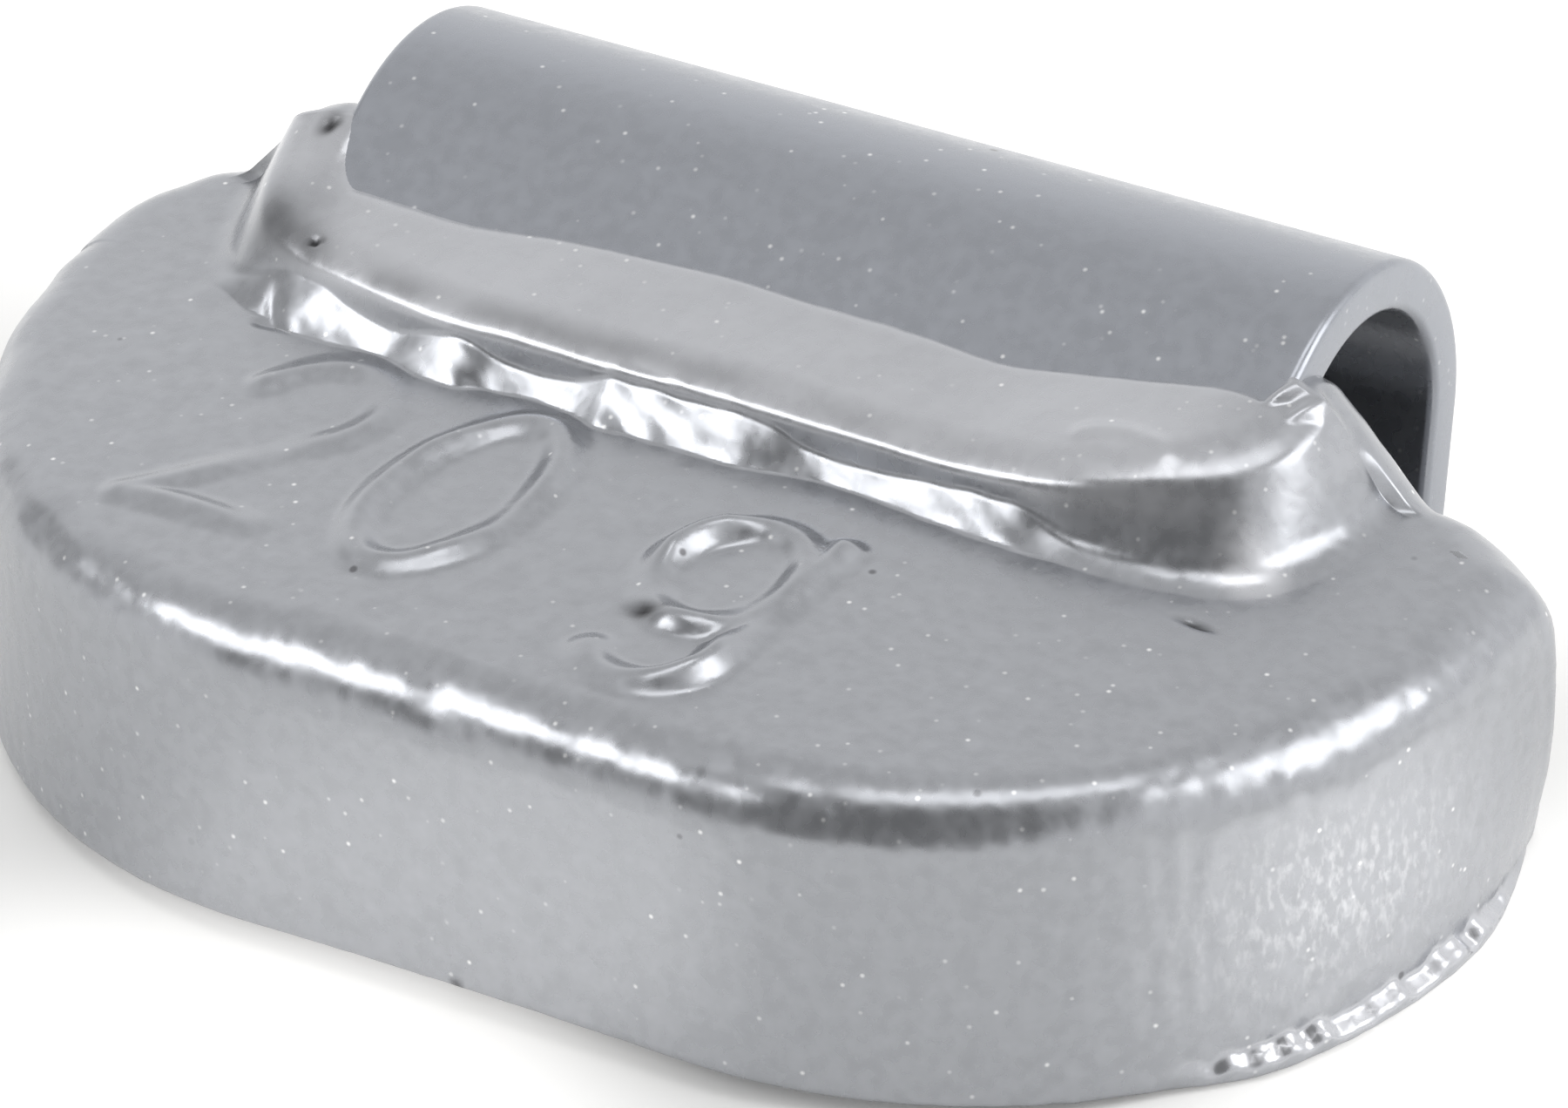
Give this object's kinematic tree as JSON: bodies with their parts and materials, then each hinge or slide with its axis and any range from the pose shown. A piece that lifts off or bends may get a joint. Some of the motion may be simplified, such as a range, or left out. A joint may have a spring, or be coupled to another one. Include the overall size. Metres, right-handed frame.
{
  "type": "wheel balance weight",
  "caption": "Hammer-on wheel balance weight: a curved zinc block with rounded ends, a raised pad and a bent spring strip that grips the lip of a wheel rim.",
  "frame": {"origin": "middle of the box that the weight fills, on the level of its lowest points", "axes": "+X along the rim, +Y from the marked front towards the clip's free leg, +Z outwards from the wheel's hub, through the top face and the clip's bend"},
  "size_m": [0.031, 0.0196, 0.0095],
  "materials": {
    "body_coating": "satin",
    "clip_coating": "satin"
  },
  "bodies": {
    "root": {"zinc_body": "body_coating", "spring_clip": "clip_coating"}
  },
  "joints": []
}
